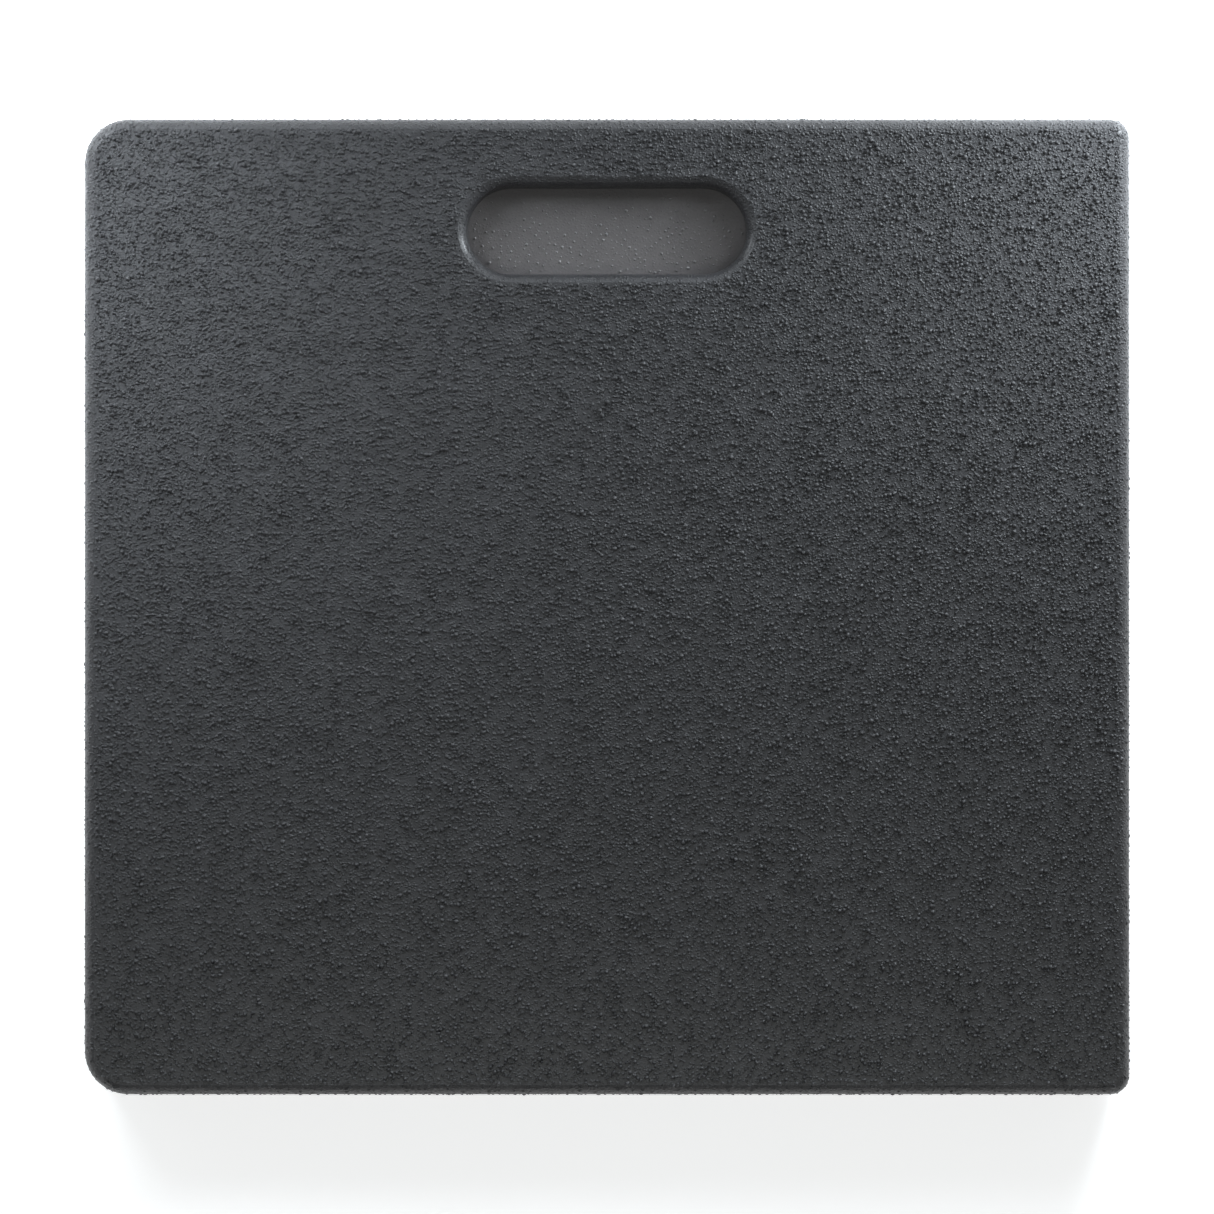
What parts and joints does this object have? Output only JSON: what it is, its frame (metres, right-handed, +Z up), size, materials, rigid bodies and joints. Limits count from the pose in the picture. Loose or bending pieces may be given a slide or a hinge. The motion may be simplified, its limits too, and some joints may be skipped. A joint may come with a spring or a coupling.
{
  "type": "granite tooling slab",
  "caption": "Flat granite tooling slab in a pebbled elastomer jacket, with rounded corners, a honed stone working face and a blind round-ended finger pocket for carrying.",
  "frame": {"origin": "middle of the stone working face that the slab lies on, below the centre of its outline", "axes": "+Z up from the stone working face to the textured face, +Y towards the edge with the finger pocket, +X to the right seen from above with that edge away from the viewer"},
  "size_m": [0.381, 0.3556, 0.032],
  "materials": {
    "granite": "honed",
    "adhesive": "cured epoxy",
    "sealant": "smooth satin",
    "jacket": "pebbled satin",
    "liner": "smooth satin with scattered droplets"
  },
  "bodies": {
    "root": {"granite_plate": "granite", "bond_layer": "adhesive", "edge_seal": "sealant", "textured_jacket": "jacket", "pocket_liner": "liner"}
  },
  "joints": []
}
